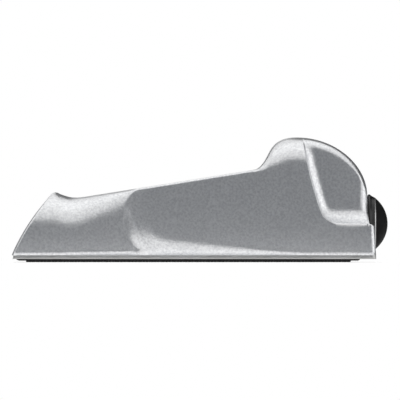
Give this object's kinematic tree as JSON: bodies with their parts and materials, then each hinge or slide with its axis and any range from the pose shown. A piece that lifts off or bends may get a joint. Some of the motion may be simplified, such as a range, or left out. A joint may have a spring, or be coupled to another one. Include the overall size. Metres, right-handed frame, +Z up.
{
  "type": "rasp plane",
  "caption": "Palm-sized rasp plane: hollow die-cast silver body over a punched black rasp blade that a screw knob pulls tight.",
  "frame": {"origin": "centre of the bounding box's underside, where the tips of the blade's teeth stand", "axes": "+X from the toe to the knob, +Y across the body, +Z up"},
  "size_m": [0.1526, 0.045, 0.0506],
  "materials": {
    "silver_paint": "satin metallic paint",
    "black_steel": "blackened",
    "plated_steel": "zinc plated",
    "spring_steel": "drawn",
    "brass_washer": "satin",
    "black_plastic": "semi-gloss"
  },
  "bodies": {
    "casting": {"body_casting": "silver_paint", "release_spring": "spring_steel", "thrust_washer": "brass_washer"},
    "knob": {"knob_wheel": "black_plastic", "knob_cap": "black_plastic", "tension_screw": "plated_steel", "stop_clip": "spring_steel"},
    "hook": {"tension_hook": "plated_steel", "hook_nut": "plated_steel"},
    "blade": {"rasp_blade": "black_steel"}
  },
  "joints": [
    {"name": "knob_turn", "type": "hinge", "parent": "casting", "child": "knob", "pos_m": [0.07, 0, 0.0156], "axis": [1, 0, 0], "range_deg": [0, 1440]},
    {"name": "hook_slide", "type": "slide", "parent": "casting", "child": "hook", "axis": [-1, 0, 0], "range_m": [0, 0.004]},
    {"name": "blade_swing", "type": "hinge", "parent": "casting", "child": "blade", "pos_m": [-0.07285, 0, 0.00275], "axis": [0, 1, 0], "range_deg": [0, 60]}
  ],
  "couplings": [
    {"joint": "knob_turn", "follows": "hook_slide", "rad_per_m": 6283.2}
  ]
}
